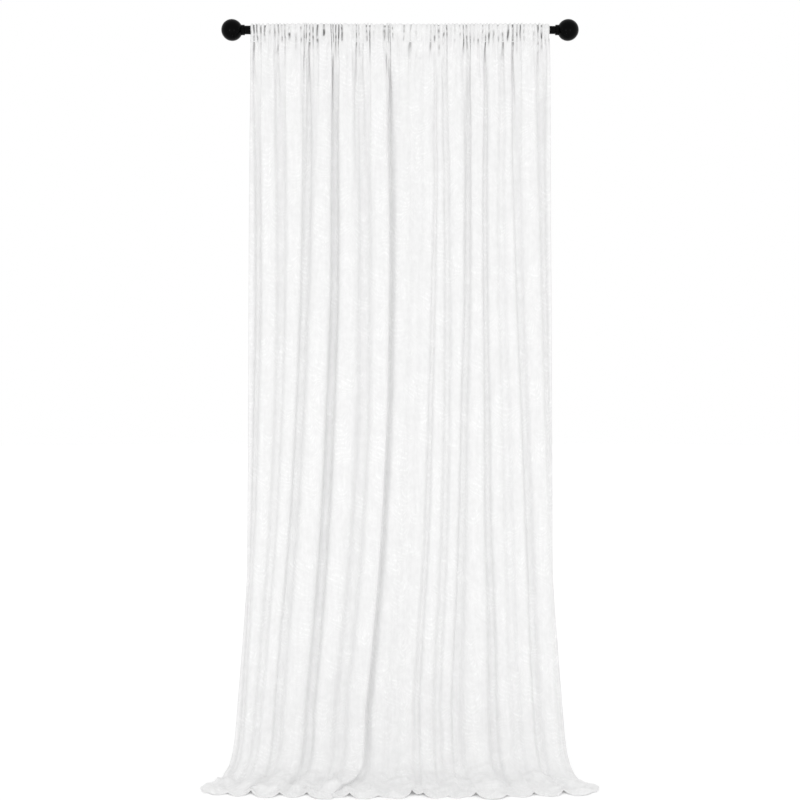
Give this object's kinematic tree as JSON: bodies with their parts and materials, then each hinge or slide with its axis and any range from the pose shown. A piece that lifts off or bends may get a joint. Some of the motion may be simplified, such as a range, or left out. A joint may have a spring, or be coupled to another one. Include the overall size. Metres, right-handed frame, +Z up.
{
  "type": "rod pocket curtain panel",
  "caption": "Long rod-pocket curtain panel of white jacquard cloth gathered on a telescoping rod with ball finials, its hem puddled on the floor.",
  "frame": {"origin": "on the rod's axis, halfway between the two ball finials, where the wall brackets' cradles hold the rod level", "axes": "+X along the rod towards the extending end, +Z up, and the front of the curtain faces -Y"},
  "size_m": [1.1536, 0.3179, 2.2519],
  "materials": {
    "curtain_fabric": "satin",
    "sewing_thread": "satin",
    "label_tape": "satin",
    "rod_paint": "satin",
    "finial_finish": "satin",
    "zinc": "satin",
    "black_plastic": "matte"
  },
  "bodies": {
    "rod": {"rod_outer_tube": "rod_paint", "tube_step_sleeve": "black_plastic", "end_insert_left": "zinc"},
    "rod_extension": {"rod_inner_tube": "rod_paint", "end_insert_right": "zinc"},
    "left_collar": {"finial_left_collar": "finial_finish"},
    "left_finial": {"finial_left_ball": "finial_finish", "finial_left_stud": "zinc"},
    "right_collar": {"finial_right_collar": "finial_finish"},
    "right_finial": {"finial_right_ball": "finial_finish", "finial_right_stud": "zinc"},
    "curtain": {"rod_pocket": "curtain_fabric", "pocket_stitching": "sewing_thread", "panel_cloth": "curtain_fabric", "side_hem_left": "curtain_fabric", "side_stitching_left": "sewing_thread", "bottom_hem": "curtain_fabric", "bottom_stitching": "sewing_thread", "care_label": "label_tape"},
    "leading_edge": {"side_hem_right": "curtain_fabric", "side_stitching_right": "sewing_thread"}
  },
  "joints": [
    {"name": "rod_extend", "type": "slide", "parent": "rod", "child": "rod_extension", "axis": [1, 0, 0], "range_m": [0, 0.27]},
    {"name": "curtain_shift", "type": "slide", "parent": "rod", "child": "curtain", "axis": [1, 0, 0], "range_m": [-0.0175, 0.0175]},
    {"name": "curtain_draw", "type": "slide", "parent": "curtain", "child": "leading_edge", "axis": [1, 0, 0], "range_m": [-0.5821, 0], "deforming": ["panel_cloth", "rod_pocket", "bottom_hem", "pocket_stitching", "bottom_stitching"]},
    {"name": "finial_left_travel", "type": "slide", "parent": "rod", "child": "left_collar", "axis": [-1, 0, 0], "range_m": [0, 0.01]},
    {"name": "finial_left_turn", "type": "hinge", "parent": "left_collar", "child": "left_finial", "pos_m": [-0.504, 0, 0], "axis": [-1, 0, 0], "range_deg": [0, 2880]},
    {"name": "finial_right_travel", "type": "slide", "parent": "rod_extension", "child": "right_collar", "axis": [1, 0, 0], "range_m": [0, 0.01]},
    {"name": "finial_right_turn", "type": "hinge", "parent": "right_collar", "child": "right_finial", "pos_m": [0.504, 0, 0], "axis": [1, 0, 0], "range_deg": [0, 2880]}
  ],
  "couplings": [
    {"joint": "finial_left_travel", "follows": "finial_left_turn", "m_per_rad": 0.00019894},
    {"joint": "finial_right_travel", "follows": "finial_right_turn", "m_per_rad": 0.00019894}
  ]
}
